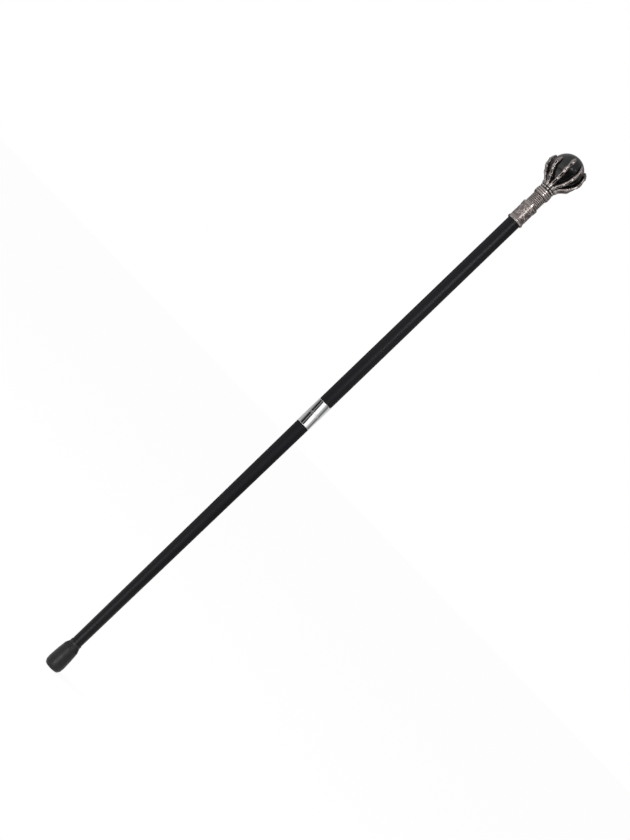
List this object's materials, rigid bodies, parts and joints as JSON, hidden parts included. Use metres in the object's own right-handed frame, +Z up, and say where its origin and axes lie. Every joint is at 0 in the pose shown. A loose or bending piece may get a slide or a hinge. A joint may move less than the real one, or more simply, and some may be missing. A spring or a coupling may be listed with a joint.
{
  "type": "skeleton hand walking cane",
  "caption": "Two-piece black walking cane whose knob is a ball held by a cast skeleton hand, with a screw joint at mid-length and a rubber tip.",
  "frame": {"origin": "centre of the ball at the top of the cane, where the hand holds it", "axes": "+Z up along the cane from the tip to the ball, -Y towards the pictured side of the skeleton hand, +X to its right"},
  "size_m": [0.0531, 0.0542, 0.92],
  "materials": {
    "antique_metal": "satin",
    "black_lacquer": "satin",
    "black_ball": "satin",
    "chrome": "polished",
    "rubber": "matte",
    "steel": "satin",
    "brass": "satin",
    "fibre": "matte"
  },
  "bodies": {
    "upper_section": {"upper_collar": "chrome", "thread_bush": "brass", "upper_shaft": "black_lacquer", "head_rod": "steel", "engraved_collar": "antique_metal", "wrist_core": "antique_metal", "wrist_wrap": "antique_metal", "wrist_band": "antique_metal", "hand_base": "antique_metal", "digit_1": "antique_metal", "digit_2": "antique_metal", "digit_3": "antique_metal", "digit_4": "antique_metal", "digit_5": "antique_metal", "digit_6": "antique_metal", "digit_7": "antique_metal", "digit_8": "antique_metal", "ball": "black_ball", "ball_insert": "brass"},
    "joint_washer": {"joint_washer": "fibre"},
    "lower_section": {"lower_shaft": "black_lacquer", "lower_collar": "chrome", "joint_stud": "steel"},
    "tip": {"rubber_tip": "rubber", "tip_washer": "steel"}
  },
  "joints": [
    {"name": "joint_draw", "type": "slide", "parent": "upper_section", "child": "joint_washer", "axis": [0, 0, -1], "range_m": [0, 0.0125]},
    {"name": "joint_turn", "type": "hinge", "parent": "joint_washer", "child": "lower_section", "pos_m": [0, 0, -0.4395], "axis": [0, 0, -1], "range_deg": [0, 3600]},
    {"name": "tip_pull", "type": "slide", "parent": "lower_section", "child": "tip", "axis": [0, 0, -1], "range_m": [0, 0.0325]}
  ],
  "couplings": [
    {"joint": "joint_draw", "follows": "joint_turn", "m_per_rad": 0.00019894}
  ]
}
